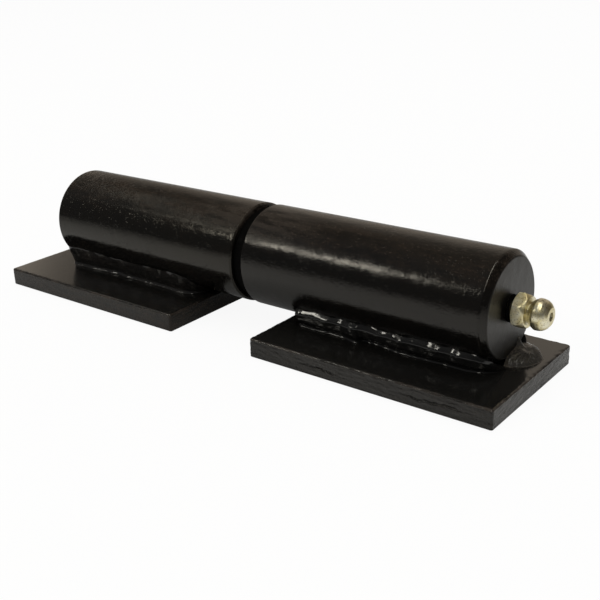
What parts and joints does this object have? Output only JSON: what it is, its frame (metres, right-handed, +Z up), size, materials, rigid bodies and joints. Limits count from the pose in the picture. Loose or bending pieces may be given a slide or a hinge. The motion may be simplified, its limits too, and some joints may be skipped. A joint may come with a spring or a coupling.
{
  "type": "weld on barrel hinge",
  "caption": "Weld on barrel hinge: steel barrels turning on a pressed-in pin with a thrust washer between, each fillet welded to a flat plate, and a grease nipple in one end.",
  "frame": {"origin": "on the resting plane, which is the underside of both plates, below the middle of the hinge's bounding box", "axes": "+X along the barrels towards the grease nipple, +Y across the plates towards their narrow rear margin, +Z up from the plates to the barrels"},
  "size_m": [0.1544, 0.0382, 0.0302],
  "materials": {
    "black_paint": "gloss black enamel over mill steel",
    "weld_paint": "gloss black enamel over rippled weld metal",
    "pin_steel": "ground",
    "washer_steel": "dark oiled steel",
    "zinc_plate": "yellow-tinged zinc plate",
    "ball_steel": "polished",
    "spring_steel": "bright wire"
  },
  "bodies": {
    "fixed_leaf": {"fixed_plate": "black_paint", "fixed_barrel": "black_paint", "fixed_weld_front": "weld_paint", "fixed_weld_rear": "weld_paint", "hinge_pin": "pin_steel"},
    "washer": {"thrust_washer": "washer_steel"},
    "moving_leaf": {"moving_plate": "black_paint", "moving_barrel": "black_paint", "moving_weld_front": "weld_paint", "moving_weld_rear": "weld_paint", "moving_weld_end": "weld_paint", "grease_nipple": "zinc_plate", "nipple_spring": "spring_steel"},
    "check_ball": {"nipple_check_ball": "ball_steel"}
  },
  "joints": [
    {"name": "swing", "type": "hinge", "parent": "fixed_leaf", "child": "washer", "pos_m": [0.00075, 0.003, 0.01746], "axis": [1, 0, 0], "continuous": true},
    {"name": "lift_off", "type": "slide", "parent": "washer", "child": "moving_leaf", "axis": [1, 0, 0], "range_m": [0, 0.056]},
    {"name": "ball_press", "type": "slide", "parent": "moving_leaf", "child": "check_ball", "axis": [-1, 0, 0], "range_m": [0, 0.0008], "stiffness_N_per_m": 400, "springref_m": -0.002, "deforming": ["nipple_spring"]}
  ]
}
